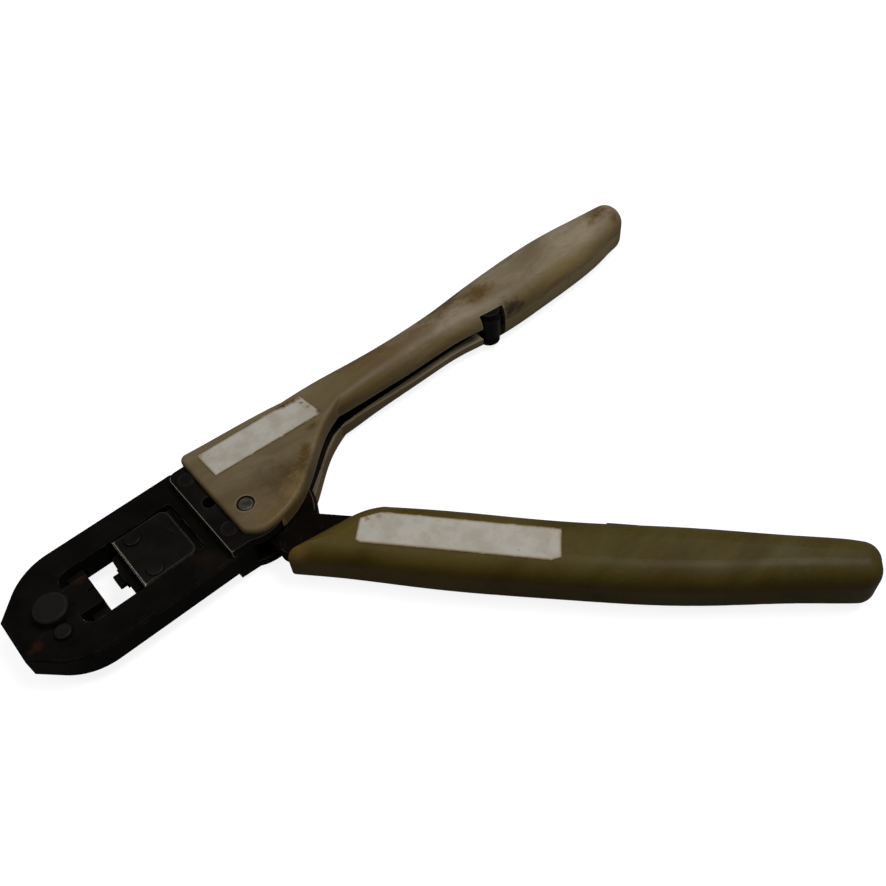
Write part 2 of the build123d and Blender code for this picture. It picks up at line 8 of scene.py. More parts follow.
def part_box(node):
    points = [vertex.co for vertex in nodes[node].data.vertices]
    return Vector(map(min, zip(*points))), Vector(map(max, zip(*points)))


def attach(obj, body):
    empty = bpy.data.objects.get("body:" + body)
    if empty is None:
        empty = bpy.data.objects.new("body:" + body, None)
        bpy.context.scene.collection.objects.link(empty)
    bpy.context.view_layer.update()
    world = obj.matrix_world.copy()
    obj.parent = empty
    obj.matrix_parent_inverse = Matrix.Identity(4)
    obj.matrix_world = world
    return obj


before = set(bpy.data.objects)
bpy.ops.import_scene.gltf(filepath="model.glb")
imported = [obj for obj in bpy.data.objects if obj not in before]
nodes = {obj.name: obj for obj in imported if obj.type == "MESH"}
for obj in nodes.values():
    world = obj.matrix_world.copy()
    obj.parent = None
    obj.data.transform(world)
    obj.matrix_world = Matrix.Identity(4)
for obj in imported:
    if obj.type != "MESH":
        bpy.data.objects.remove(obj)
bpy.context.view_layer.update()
print("frame loaded:", len(nodes), "nodes")


def mm(*values):  # lengths are typed in millimetres, Blender takes metres
    return Vector([v / 1000 for v in values])


# shader helpers

def newMaterial(name):
    material = bpy.data.materials.new(name)
    material.use_nodes = True
    tree = material.node_tree
    tree.nodes.clear()
    output = tree.nodes.new("ShaderNodeOutputMaterial")
    shader = tree.nodes.new("ShaderNodeBsdfPrincipled")
    tree.links.new(shader.outputs["BSDF"], output.inputs["Surface"])
    return material, tree, shader


def newGroup(name, inputs, outputs):
    group = bpy.data.node_groups.new(name, "ShaderNodeTree")
    for label, kind, value in inputs:
        socket = group.interface.new_socket(label, in_out="INPUT", socket_type="NodeSocket" + kind)
        socket.default_value = value
    for label, kind in outputs:
        group.interface.new_socket(label, in_out="OUTPUT", socket_type="NodeSocket" + kind)
    start = group.nodes.new("NodeGroupInput")
    end = group.nodes.new("NodeGroupOutput")
    return group, start, end


def feed(tree, socket, value):
    if isinstance(value, bpy.types.NodeSocket):
        tree.links.new(value, socket)
    elif value is not None:
        if hasattr(socket.default_value, "__len__") and len(socket.default_value) == 4 and len(value) == 3:
            value = (*value, 1.0)
        socket.default_value = value


def maths(tree, operation, a, b=None, clamp=False):
    node = tree.nodes.new("ShaderNodeMath")
    node.operation = operation
    node.use_clamp = clamp
    feed(tree, node.inputs[0], a)
    if b is not None:
        feed(tree, node.inputs[1], b)
    return node.outputs[0]


def vectorMath(tree, operation, a, b):
    node = tree.nodes.new("ShaderNodeVectorMath")
    node.operation = operation
    feed(tree, node.inputs[0], a)
    feed(tree, node.inputs[1], b)
    return node.outputs["Value"] if operation in ("DOT_PRODUCT", "LENGTH", "DISTANCE") else node.outputs[0]


def mapRange(tree, value, low, high, outLow=0.0, outHigh=1.0, smooth=True):
    node = tree.nodes.new("ShaderNodeMapRange")
    node.interpolation_type = "SMOOTHSTEP" if smooth else "LINEAR"
    feed(tree, node.inputs["Value"], value)
    feed(tree, node.inputs["From Min"], low)
    feed(tree, node.inputs["From Max"], high)
    feed(tree, node.inputs["To Min"], outLow)
    feed(tree, node.inputs["To Max"], outHigh)
    return node.outputs["Result"]


def noise(tree, place, scale, detail=3.0, roughness=0.55, distortion=0.0):
    node = tree.nodes.new("ShaderNodeTexNoise")
    feed(tree, node.inputs["Vector"], place)
    feed(tree, node.inputs["Scale"], scale)
    node.inputs["Detail"].default_value = detail
    node.inputs["Roughness"].default_value = roughness
    node.inputs["Distortion"].default_value = distortion
    return node.outputs["Fac"]


def mixColor(tree, factor, a, b, blend="MIX"):
    node = tree.nodes.new("ShaderNodeMix")
    node.data_type = "RGBA"
    node.blend_type = blend
    feed(tree, node.inputs[0], factor)
    feed(tree, node.inputs[6], a)  # 6, 7 and output 2 are the mix node's colour sockets
    feed(tree, node.inputs[7], b)
    return node.outputs[2]


def tint(tree, base, mask, strength, color):
    return mixColor(tree, maths(tree, "MULTIPLY", mask, strength), base, color)


def objectPlace(tree):
    return tree.nodes.new("ShaderNodeTexCoord").outputs["Object"]


def axisOf(tree, vector, axis):
    node = tree.nodes.new("ShaderNodeSeparateXYZ")
    feed(tree, node.inputs[0], vector)
    return node.outputs[axis]


def stretch(tree, place, scale, turn, shift=(0.0, 0.0, 0.0)):
    node = tree.nodes.new("ShaderNodeMapping")
    feed(tree, node.inputs["Vector"], place)
    node.inputs["Location"].default_value = shift
    node.inputs["Rotation"].default_value = (0.0, 0.0, turn)
    node.inputs["Scale"].default_value = scale
    return node.outputs["Vector"]


def useGroup(tree, group, **values):
    node = tree.nodes.new("ShaderNodeGroup")
    node.node_tree = group
    for label, value in values.items():
        feed(tree, node.inputs[label], value)
    return node


def bumpFrom(tree, height, strength, distance):
    node = tree.nodes.new("ShaderNodeBump")
    node.inputs["Strength"].default_value = strength
    node.inputs["Distance"].default_value = distance
    feed(tree, node.inputs["Height"], height)
    return node.outputs["Normal"]


# shared effects

edgeWearFeel = {
    "flat": 0.995, "sharp": 0.86,  # how far the softened normal turns at a flat spot and at a sharp edge
    "fullPatch": 0.78, "patchSpan": 0.22, "samples": 6,
}


def edgeWearGroup(feel):
    inputs = [("Place", "Vector", (0, 0, 0)), ("Width", "Float", 0.0008), ("Breakup", "Float", 300.0),
              ("Amount", "Float", 0.5)]
    group, start, end = newGroup("edgeWear", inputs, [("Mask", "Float")])
    bevel = group.nodes.new("ShaderNodeBevel")
    bevel.samples = feel["samples"]
    feed(group, bevel.inputs["Radius"], start.outputs["Width"])
    geometry = group.nodes.new("ShaderNodeNewGeometry")
    facing = vectorMath(group, "DOT_PRODUCT", bevel.outputs["Normal"], geometry.outputs["Normal"])
    edge = mapRange(group, facing, feel["flat"], feel["sharp"])
    patchy = noise(group, start.outputs["Place"], start.outputs["Breakup"], 5.0, 0.65)
    low = maths(group, "SUBTRACT", feel["fullPatch"], start.outputs["Amount"])
    high = maths(group, "ADD", low, feel["patchSpan"])
    mask = maths(group, "MULTIPLY", edge, mapRange(group, patchy, low, high), clamp=True)
    group.links.new(mask, end.inputs["Mask"])
    return group


# grime and painted shade: surfaces are darkened where ambient occlusion finds crevices and recesses
grimeShadeFeel = {"open": 0.85, "deep": 0.35, "patch": (0.3, 0.6), "samples": 8}


def grimeShadeGroup(feel):
    inputs = [("Place", "Vector", (0, 0, 0)), ("Reach", "Float", 0.003), ("Breakup", "Float", 200.0)]
    group, start, end = newGroup("creviceGrimeAndShade", inputs, [("Mask", "Float")])
    occlusion = group.nodes.new("ShaderNodeAmbientOcclusion")
    occlusion.samples = feel["samples"]
    feed(group, occlusion.inputs["Distance"], start.outputs["Reach"])
    deep = mapRange(group, occlusion.outputs["AO"], feel["open"], feel["deep"])
    patchy = noise(group, start.outputs["Place"], start.outputs["Breakup"], 4.0, 0.6)
    mask = maths(group, "MULTIPLY", deep, mapRange(group, patchy, *feel["patch"]), clamp=True)
    group.links.new(mask, end.inputs["Mask"])
    return group


stainFeel = {"raggedGain": 4.0, "clear": 1.05, "full": 0.05}  # clear and full are shares of the reach


def stainGroup(feel):
    inputs = [("Place", "Vector", (0, 0, 0)), ("Centre", "Vector", (0, 0, 0)), ("Reach", "Float", 0.01),
              ("Breakup", "Float", 250.0), ("Ragged", "Float", 0.6), ("Shape", "Vector", (1, 1, 1))]
    group, start, end = newGroup("stainSpot", inputs, [("Mask", "Float")])
    away = vectorMath(group, "SUBTRACT", start.outputs["Place"], start.outputs["Centre"])
    away = vectorMath(group, "MULTIPLY", away, start.outputs["Shape"])
    near = maths(group, "DIVIDE", vectorMath(group, "LENGTH", away, (0, 0, 0)), start.outputs["Reach"])
    drawn = vectorMath(group, "MULTIPLY", start.outputs["Place"], start.outputs["Shape"])
    patchy = noise(group, drawn, start.outputs["Breakup"], 9.0, 0.72, 0.9)
    ragged = maths(group, "MULTIPLY", maths(group, "SUBTRACT", patchy, 0.5), start.outputs["Ragged"])
    shaped = maths(group, "ADD", near, maths(group, "MULTIPLY", ragged, feel["raggedGain"]))
    mask = mapRange(group, shaped, feel["clear"], feel["full"])
    group.links.new(mask, end.inputs["Mask"])
    return group


scratchFeel = {"rarest": 0.86, "amountGain": 0.25, "softness": 0.05}


def scratchGroup(feel):
    inputs = [("Place", "Vector", (0, 0, 0)), ("Scale", "Float", 90.0), ("Slenderness", "Float", 14.0),
              ("Angle", "Float", 0.6), ("Amount", "Float", 0.5)]
    group, start, end = newGroup("fineScratches", inputs, [("Mask", "Float")])
    turn = group.nodes.new("ShaderNodeCombineXYZ")
    feed(group, turn.inputs["Z"], start.outputs["Angle"])
    rotate = group.nodes.new("ShaderNodeVectorRotate")
    rotate.rotation_type = "EULER_XYZ"
    feed(group, rotate.inputs["Vector"], start.outputs["Place"])
    feed(group, rotate.inputs["Rotation"], turn.outputs["Vector"])
    thin = group.nodes.new("ShaderNodeCombineXYZ")
    feed(group, thin.inputs["X"], 1.0)
    feed(group, thin.inputs["Y"], start.outputs["Slenderness"])
    feed(group, thin.inputs["Z"], 1.0)
    place = vectorMath(group, "MULTIPLY", rotate.outputs["Vector"], thin.outputs["Vector"])
    lines = noise(group, place, start.outputs["Scale"], 2.0, 0.5)
    high = maths(group, "SUBTRACT", feel["rarest"],
                 maths(group, "MULTIPLY", start.outputs["Amount"], feel["amountGain"]))
    mask = mapRange(group, lines, maths(group, "SUBTRACT", high, feel["softness"]), high)
    group.links.new(mask, end.inputs["Mask"])
    return group


edgeWear = edgeWearGroup(edgeWearFeel)
creviceGrimeShade = grimeShadeGroup(grimeShadeFeel)
stainSpot = stainGroup(stainFeel)
fineScratches = scratchGroup(scratchFeel)
print("shader groups ready")


def stain(at, reach, strength, color, **more):  # more may hold ragged, breakup and shape
    return {"at": at, "reach": reach, "strength": strength, "color": color, **more}


def addStains(tree, base, place, stains, breakup, ragged, toObject=Matrix()):
    for mark in stains:
        mask = useGroup(tree, stainSpot, Place=place, Centre=toObject @ mm(*mark["at"]),
                        Reach=mark["reach"] / 1000, Breakup=mark.get("breakup", breakup),
                        Ragged=mark.get("ragged", ragged), Shape=mark.get("shape", (1, 1, 1))).outputs["Mask"]
        base = tint(tree, base, mask, mark["strength"], mark["color"])
    return base


# steel pieces

steelGrain = {
    "speckScale": 1400.0, "brownScale": 75.0, "pitScale": 420.0, "pitDepth": 0.0002,
    "stainBreakup": 480.0, "stainRagged": 0.5, "scratchSlenderness": 16.0,
    "dirtShadeReach": 0.0035, "dirtShadeBreakup": 260.0, "dirtShadeStrength": 0.7, "dirtDulls": 0.25, "wearSmooths": 0.12,
}
# worn metal and a painted highlight along the front edge
frontWearAndHighlight = {"inside": 0.0012, "outside": 0.0006, "elsewhere": 0.12}  # metres behind the piece's front
ringMark = {"edge": 0.0003, "core": 0.0001, "fadeY": (-0.0235, -0.021), "strength": 0.45}


def ringAround(tree, place, pin, radius):
    low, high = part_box(pin)
    middle = Vector(((low[0] + high[0]) / 2, (low[1] + high[1]) / 2, 0))
    flat = vectorMath(tree, "MULTIPLY", place, (1, 1, 0))
    off = maths(tree, "SUBTRACT", vectorMath(tree, "DISTANCE", flat, middle), radius)
    ring = mapRange(tree, maths(tree, "ABSOLUTE", off), ringMark["edge"], ringMark["core"])
    return maths(tree, "MULTIPLY", ring, mapRange(tree, axisOf(tree, place, "Y"), *ringMark["fadeY"]))


def steelMaterial(name, look):
    material, tree, shader = newMaterial(name)
    place = objectPlace(tree)
    cloud = noise(tree, place, look["cloudScale"], 4.0, 0.6)
    base = mixColor(tree, mapRange(tree, cloud, 0.35, 0.65), look["dark"], look["light"])
    speck = noise(tree, place, steelGrain["speckScale"], 3.0, 0.7)
    brown = noise(tree, place, steelGrain["brownScale"], 6.0, 0.68, 0.5)
    rusty = maths(tree, "MULTIPLY", mapRange(tree, brown, look["rustFrom"], look["rustFrom"] + 0.1),
                  mapRange(tree, speck, 0.35, 0.6))
    base = mixColor(tree, rusty, base, look["rust"])
    base = addStains(tree, base, place, look["stains"], steelGrain["stainBreakup"], steelGrain["stainRagged"])
    wear = useGroup(tree, edgeWear, Place=place, Width=look["wearWidth"], Breakup=look["wearBreakup"],
                    Amount=look["wearAmount"]).outputs["Mask"]
    lines = useGroup(tree, fineScratches, Place=place, Scale=look["scratchScale"],
                     Slenderness=steelGrain["scratchSlenderness"], Angle=look["scratchAngle"],
                     Amount=look["scratchAmount"]).outputs["Mask"]
    if look["front"]:  # the front edge is worn bright and carries a painted highlight, the others do not
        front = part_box(look["front"])[0][0]
        frontWornAndLit = mapRange(tree, axisOf(tree, place, "X"), front + frontWearAndHighlight["inside"],
                          front + frontWearAndHighlight["outside"], frontWearAndHighlight["elsewhere"], 1.0)
        wear = maths(tree, "MULTIPLY", wear, frontWornAndLit)
    bare = maths(tree, "MAXIMUM", maths(tree, "MULTIPLY", wear, look["wearStrength"]),
                 maths(tree, "MULTIPLY", lines, look["scratchStrength"]))
    base = mixColor(tree, bare, base, look["bare"])
    if look["rubRing"]:  # a fine ring rubbed round the handle pivot
        ring = ringAround(tree, place, "pivot_pin", look["rubRing"] / 1000)
        base = tint(tree, base, ring, ringMark["strength"], look["bare"])
    # grime and painted shade darken the crevices
    dirtAndShade = useGroup(tree, creviceGrimeShade, Place=place, Reach=steelGrain["dirtShadeReach"],
                    Breakup=steelGrain["dirtShadeBreakup"]).outputs["Mask"]
    base = tint(tree, base, dirtAndShade, steelGrain["dirtShadeStrength"], look["dirtAndShade"])
    feed(tree, shader.inputs["Base Color"], base)
    shader.inputs["Metallic"].default_value = look["metallic"]
    shader.inputs["Specular IOR Level"].default_value = look["specular"]
    rough = mapRange(tree, cloud, 0.3, 0.7, *look["rough"])
    rough = maths(tree, "ADD", rough, maths(tree, "MULTIPLY", dirtAndShade, steelGrain["dirtDulls"]))
    smoothed = maths(tree, "MULTIPLY", bare, steelGrain["wearSmooths"])
    feed(tree, shader.inputs["Roughness"], maths(tree, "SUBTRACT", rough, smoothed, clamp=True))
    pits = noise(tree, place, steelGrain["pitScale"], 4.0, 0.6)
    pits = maths(tree, "ADD", maths(tree, "MULTIPLY", speck, 0.5), pits)
    feed(tree, shader.inputs["Normal"], bumpFrom(tree, pits, look["bump"], steelGrain["pitDepth"]))
    return material


blackSteel = {
    "dark": (0.0026, 0.0023, 0.0018), "light": (0.0058, 0.005, 0.0039), "cloudScale": 42.0,
    "rust": (0.018, 0.007, 0.003), "rustFrom": 0.66, "bare": (0.1, 0.086, 0.066),
    # the colour of the crevice grime and painted shade
    "dirtAndShade": (0.0015, 0.001, 0.0008),
    "wearWidth": 0.0005, "wearBreakup": 420.0, "wearAmount": 0.34, "wearStrength": 0.35,
    "scratchScale": 120.0, "scratchAngle": 0.5, "scratchAmount": 0.35, "scratchStrength": 0.05,
    "metallic": 0.0, "specular": 0.025, "rough": (0.42, 0.55), "bump": 0.35, "stains": [],
    "front": None,  # the piece whose front edge is worn bright and painted with a highlight
    "rubRing": 0,  # the ring's radius, mm
}


def steelVariant(**changes):
    return {**blackSteel, **changes}


steels = {
    "frameSteel": steelVariant(stains=[
        stain((-75.4, -6.7, 15.1), 2.6, 0.6, (0.03, 0.011, 0.005)),
        stain((-78.0, -7.4, 15.1), 1.8, 0.5, (0.022, 0.009, 0.005)),
        stain((-20.7, -15.9, 15.1), 4.5, 0.45, (0.016, 0.008, 0.005))]),
    "plateSteel": steelVariant(
        dark=(0.0042, 0.0037, 0.003), light=(0.0086, 0.0076, 0.0062), rustFrom=0.68, wearAmount=0.7,
        wearStrength=0.9, front="side_plate_near", bare=(0.3, 0.26, 0.2)),
    "ramSteel": steelVariant(
        dark=(0.0046, 0.0043, 0.0037), light=(0.0098, 0.009, 0.0078), rough=(0.34, 0.46), specular=0.05,
        wearWidth=0.0007, wearAmount=0.95, wearStrength=1.0, front="ram_plate_near", bare=(0.62, 0.55, 0.44),
        scratchAngle=1.2, scratchStrength=0.04),
    # darker and less worn than the other black steel: the dies' own black with painted shade of the recess
    # round them
    "dieSteelPaintedShade": steelVariant(
        dark=(0.002, 0.0017, 0.0014), light=(0.0052, 0.0045, 0.0037), rustFrom=0.6,
        rust=(0.014, 0.005, 0.0026), wearAmount=0.45, wearStrength=0.12, stains=[
            stain((-54.6, 6.4, 15.0), 3.4, 0.9, (0.022, 0.0075, 0.004)),
            stain((-54.1, -10.1, 15.0), 5.0, 0.9, (0.02, 0.007, 0.004))]),
    "pinSteel": steelVariant(
        dark=(0.004, 0.0035, 0.003), light=(0.009, 0.008, 0.0068), rough=(0.34, 0.48), specular=0.1,
        wearAmount=0.45, wearStrength=0.4),
    "leverSteel": steelVariant(
        dark=(0.0009, 0.0006, 0.0005), light=(0.0034, 0.0021, 0.0014), rustFrom=0.54,
        rust=(0.011, 0.0055, 0.003), scratchAmount=0.5, scratchStrength=0.1, scratchAngle=-0.8, rubRing=21.3),
    "wheelSteel": steelVariant(
        dark=(0.0012, 0.001, 0.0009), light=(0.0035, 0.003, 0.0027), rough=(0.24, 0.36), specular=0.1,
        wearAmount=0.4),
    "rivetSteel": steelVariant(
        dark=(0.022, 0.019, 0.015), light=(0.085, 0.078, 0.066), cloudScale=260.0, rough=(0.36, 0.55),
        specular=0.4, wearAmount=0.4),
    "springSteel": steelVariant(
        dark=(0.12, 0.115, 0.105), light=(0.3, 0.29, 0.27), metallic=0.9, rough=(0.25, 0.4)),
    "innerSteel": steelVariant(
        dark=(0.02, 0.0185, 0.017), light=(0.06, 0.057, 0.052), metallic=0.6, rough=(0.3, 0.5)),
}
steelMaterials = {name: steelMaterial(name, look) for name, look in steels.items()}


# moulded handles

plasticGrain = {
    "streak": (0.35, 1.0, 1.0), "fineScale": 650.0, "yellowing": 0.22, "fineHeight": 0.12, "bumpDepth": 0.0005,
    "dullScale": 38.0, "dullStreak": (0.4, 1.0, 1.0), "dullShift": (0.3, 0.1, 0.0), "dullPatch": (0.54, 0.72),
    "topToSide": (0.95, 0.35),  # how far the surface faces up where the sides' painted shade starts and is full
    "stainBreakup": 260.0, "stainRagged": 0.6, "wearBreakup": 170.0, "wearStrength": 0.5,
    "dirtShadeReach": 0.003, "dirtShadeBreakup": 220.0, "dirtShadeStrength": 0.85,
    "scratchScale": 70.0, "scratchSlenderness": 18.0, "scratchAmount": 0.4, "scratchStrength": 0.25,
    "scratchDulls": 0.08,
}


def plasticMaterial(name, look, carrier):
    grain = plasticGrain
    material, tree, shader = newMaterial(name)
    place = objectPlace(tree)
    toCarrier = nodes[carrier].matrix_world.inverted()
    along = stretch(tree, place, grain["streak"], look["grainTurn"])
    cloud = noise(tree, along, look["cloudScale"], 5.0, 0.6, 0.6)
    clouded = mapRange(tree, cloud, 0.32, 0.68)
    base = mixColor(tree, clouded, look["dark"], look["light"])
    # painted light falloff: the colour changes with distance from the head, standing in for light that falls
    # off along the handle
    falloffTone = mixColor(tree, clouded, look["falloffDark"], look["falloffLight"])
    reach = vectorMath(tree, "DISTANCE", place, toCarrier @ mm(*look["headEnd"]))
    base = mixColor(tree, mapRange(tree, reach, look["falloffFrom"] / 1000, look["falloffTo"] / 1000), base, falloffTone)
    fine = noise(tree, along, grain["fineScale"], 4.0, 0.7)
    base = tint(tree, base, mapRange(tree, fine, 0.3, 0.7), grain["yellowing"], look["yellow"])
    # painted shade: faces that turn sideways are darkened and made more saturated
    facing = tree.nodes.new("ShaderNodeTexCoord").outputs["Normal"]
    upward = maths(tree, "ABSOLUTE", axisOf(tree, facing, "Z"))
    sideShaded = mixColor(tree, 1.0, base, look["sideShade"], "MULTIPLY")
    base = mixColor(tree, mapRange(tree, upward, *grain["topToSide"]), base, sideShaded)
    drawn = stretch(tree, place, grain["dullStreak"], look["grainTurn"], grain["dullShift"])
    broad = noise(tree, drawn, grain["dullScale"], 5.0, 0.66, 0.8)
    base = tint(tree, base, mapRange(tree, broad, *grain["dullPatch"]), look["dullness"], look["handled"])
    base = addStains(tree, base, place, look["stains"], grain["stainBreakup"], grain["stainRagged"], toCarrier)
    wear = useGroup(tree, edgeWear, Place=place, Width=look["wearWidth"], Breakup=grain["wearBreakup"],
                    Amount=look["wearAmount"]).outputs["Mask"]
    base = tint(tree, base, wear, grain["wearStrength"], look["edge"])
    # grime and painted shade darken the crevices
    dirtAndShade = useGroup(tree, creviceGrimeShade, Place=place, Reach=grain["dirtShadeReach"],
                    Breakup=grain["dirtShadeBreakup"]).outputs["Mask"]
    base = tint(tree, base, dirtAndShade, grain["dirtShadeStrength"], look["grimeAndShade"])
    lines = useGroup(tree, fineScratches, Place=place, Scale=grain["scratchScale"],
                     Slenderness=grain["scratchSlenderness"], Angle=look["scratchAngle"],
                     Amount=grain["scratchAmount"]).outputs["Mask"]
    base = tint(tree, base, lines, grain["scratchStrength"], look["handled"])
    feed(tree, shader.inputs["Base Color"], base)
    shader.inputs["Specular IOR Level"].default_value = look["specular"]
    rough = mapRange(tree, broad, 0.35, 0.7, *look["rough"])
    dulled = maths(tree, "MULTIPLY", lines, grain["scratchDulls"])
    feed(tree, shader.inputs["Roughness"], maths(tree, "ADD", rough, dulled, clamp=True))
    height = maths(tree, "ADD", cloud, maths(tree, "MULTIPLY", fine, grain["fineHeight"]))
    feed(tree, shader.inputs["Normal"], bumpFrom(tree, height, look["bump"], grain["bumpDepth"]))
    return material


casingLook = {
    "dark": (0.088, 0.064, 0.032), "light": (0.155, 0.122, 0.072),  # near the head
    "falloffDark": (0.158, 0.124, 0.073), "falloffLight": (0.255, 0.212, 0.143),  # painted light falloff: coloured lighter towards the handle's end, away from the head
    "headEnd": (0, 0, 20.8), "falloffFrom": 20, "falloffTo": 120,  # mm
    "yellow": (0.13, 0.085, 0.025), "handled": (0.085, 0.055, 0.024), "edge": (0.24, 0.2, 0.13),
    # grimeAndShade is the colour of the crevice grime and painted shade
    "grimeAndShade": (0.02, 0.011, 0.005), "sideShade": (0.8, 0.7, 0.48),
    "cloudScale": 55.0, "grainTurn": -0.06, "dullness": 0.5, "wearWidth": 0.0014, "wearAmount": 0.45,
    "scratchAngle": 0.35, "specular": 0.12, "rough": (0.4, 0.54), "bump": 0.16,
    "stains": [
        stain((66.0, 10.0, 20.0), 24, 0.6, (0.105, 0.072, 0.027), ragged=0.35, shape=(0.5, 1, 1), breakup=90.0),
        stain((17.0, -13.0, 20.0), 15, 0.95, (0.058, 0.037, 0.013), ragged=0.3),
        stain((88.0, 1.0, 12.0), 10, 0.6, (0.06, 0.038, 0.012), ragged=0.4, shape=(0.3, 1, 1), breakup=120.0),
        # brown patches along the top of the handle, and at its end
        stain((106.0, 14.5, 20.8), 8, 0.8, (0.065, 0.032, 0.009), shape=(0.5, 1, 1)),
        stain((120.5, 10.0, 20.8), 6, 0.9, (0.08, 0.043, 0.01), shape=(0.55, 1, 1)),
        stain((112.0, 17.5, 20.0), 4, 0.7, (0.08, 0.04, 0.012), shape=(0.25, 1, 1)),
        stain((186.0, 10.5, 20.6), 6, 0.9, (0.08, 0.042, 0.01), shape=(0.6, 1, 1)),
        stain((191.0, 5.5, 20.0), 4, 0.8, (0.075, 0.04, 0.01)),
        stain((158.0, -1.0, 17.8), 8, 0.5, (0.19, 0.14, 0.05), shape=(0.4, 1, 1)),
        # a row of brown marks up the head's lower edge
        *(stain((22.6 + 2.0 * i, -10.9 + 1.9 * i, 20.8), 2.6, 0.7, (0.07, 0.038, 0.006)) for i in range(4)),
        stain((35.0, 0.8, 20.8), 2.4, 0.7, (0.045, 0.025, 0.006), shape=(0.6, 1, 1)),
        stain((33.5, 17.6, 20.8), 3.4, 0.8, (0.12, 0.055, 0.012), shape=(0.5, 1, 1)),
        # pale worn grain and yellowing at the head's lower corner
        stain((14.5, -16.9, 20.6), 6, 0.7, (0.16, 0.11, 0.045), breakup=520.0),
        stain((19.0, -13.5, 20.6), 5, 0.7, (0.15, 0.1, 0.04), breakup=520.0),
        stain((4.0, -20.0, 20.0), 7, 0.7, (0.11, 0.065, 0.02)),
        stain((10.0, -4.0, 20.8), 9, 0.35, (0.075, 0.055, 0.028)),
        stain((82.0, 8.0, 20.6), 10, 0.5, (0.09, 0.05, 0.016), shape=(0.4, 1, 1)),
        stain((70.0, 15.0, 20.0), 7, 0.5, (0.1, 0.055, 0.018), shape=(0.4, 1, 1)),
        # dark smears beside the stop wheel
        stain((126.5, -1.0, 16.0), 5, 0.9, (0.03, 0.02, 0.013), ragged=0.8),
        stain((131.0, -1.0, 15.0), 4, 0.8, (0.035, 0.024, 0.016), ragged=0.9),
        stain((148.0, 12.0, 20.8), 8, 0.4, (0.1, 0.075, 0.04), shape=(0.4, 1, 1)),
    ],
}
gripLook = {
    "dark": (0.054, 0.037, 0.0075), "light": (0.083, 0.061, 0.014),
    # painted light falloff: coloured darker away from the nose
    "falloffDark": (0.043, 0.032, 0.0075), "falloffLight": (0.068, 0.053, 0.0145),
    "headEnd": (12, -38, 20.8), "falloffFrom": 20, "falloffTo": 90,
    "yellow": (0.095, 0.058, 0.007), "handled": (0.045, 0.03, 0.008), "edge": (0.14, 0.112, 0.045),
    "grimeAndShade": (0.016, 0.01, 0.003), "sideShade": (0.75, 0.66, 0.35),
    "cloudScale": 45.0, "grainTurn": 0.84, "dullness": 0.45, "wearWidth": 0.0014, "wearAmount": 0.36,
    "scratchAngle": -0.4, "specular": 0.08, "rough": (0.36, 0.48), "bump": 0.14,
    "stains": [
        # the yellowed rim of the nose
        stain((-0.6, -37.0, 16.0), 5.5, 0.8, (0.15, 0.088, 0.02), ragged=0.25),
        stain((3.2, -34.8, 17.0), 4.8, 0.75, (0.15, 0.092, 0.024), ragged=0.25),
        stain((7.5, -33.6, 17.2), 4.4, 0.7, (0.15, 0.095, 0.026), ragged=0.25),
        stain((12.0, -33.4, 17.4), 4.2, 0.65, (0.15, 0.098, 0.03), ragged=0.25),
        stain((17.0, -34.2, 17.6), 4.0, 0.6, (0.15, 0.1, 0.034), ragged=0.25),
        # faint patches down the grip
        stain((83.0, -118.0, 19.0), 10, 0.4, (0.045, 0.024, 0.007)),
        stain((60.0, -92.0, 17.0), 9, 0.4, (0.04, 0.021, 0.006)),
        stain((112.0, -140.0, 19.0), 8, 0.35, (0.08, 0.07, 0.03)),
        stain((44.0, -68.0, 14.0), 10, 0.35, (0.035, 0.022, 0.006)),
    ],
}
casingPlastic = plasticMaterial("casingPlastic", casingLook, "casing_near")
gripPlastic = plasticMaterial("gripPlastic", gripLook, "moving_grip")


# which steel each CAD piece wears; the moulded pieces follow below
dressing = {
    "head_frame": "frameSteel", "side_plate_near": "plateSteel", "side_plate_far": "plateSteel",
    "cover_pins": "pinSteel", "die_retaining_screw": "pinSteel", "lock_screw": "pinSteel",
    "stationary_die": "dieSteelPaintedShade", "moving_die": "dieSteelPaintedShade", "ram_plate_near": "ramSteel",
    "ram_plate_far": "ramSteel", "ram_stem": "ramSteel", "ram_rivets": "pinSteel", "die_pins": "pinSteel",
    "drive_pin": "innerSteel", "lever": "leverSteel", "pivot_pin": "rivetSteel", "hub_washer": "innerSteel",
    "return_spring": "springSteel", "pawl": "innerSteel", "pawl_pin": "innerSteel",
    "pawl_spring": "springSteel", "plate_spacers": "innerSteel", "casing_screws": "pinSteel",
    "stop_wheel": "wheelSteel", "wheel_washer": "innerSteel", "wheel_pin": "pinSteel",
    "striker_pad": "wheelSteel",
}


def dress(node, material):
    mesh = nodes[node].data
    mesh.materials.clear()
    mesh.materials.append(material)


for nodeName, steelName in dressing.items():
    dress(nodeName, steelMaterials[steelName])
for nodeName in ("casing_near", "casing_far"):
    dress(nodeName, casingPlastic)
dress("moving_grip", gripPlastic)
print("CAD nodes dressed")


# paper labels

paperGrain = {
    "cloudScale": 160.0, "fibreScale": 2600.0, "fibreHeight": 0.15, "brokenScale": 420.0,
    "speckScale": 900.0, "speckStrength": 0.35, "stainBreakup": 420.0, "stainRagged": 0.6,
    "rough": (0.5, 0.62), "specular": 0.15, "bump": 0.15, "bumpDepth": 0.0003,
}
sheetShape = {
    "cell": 0.0003, "thick": 0.00009, "ripple": 0.00004, "rippleScale": 160, "raggedScale": 900,
    "tuckedIn": 0.00002,  # how far the sheet's edge reaches into the plastic
    "edgeRings": ((1.0, 1.0), (0.45, 1.0), (0.0, 0.65), (0.0, 0.25)),  # dark line and yellow band, edge inward
}


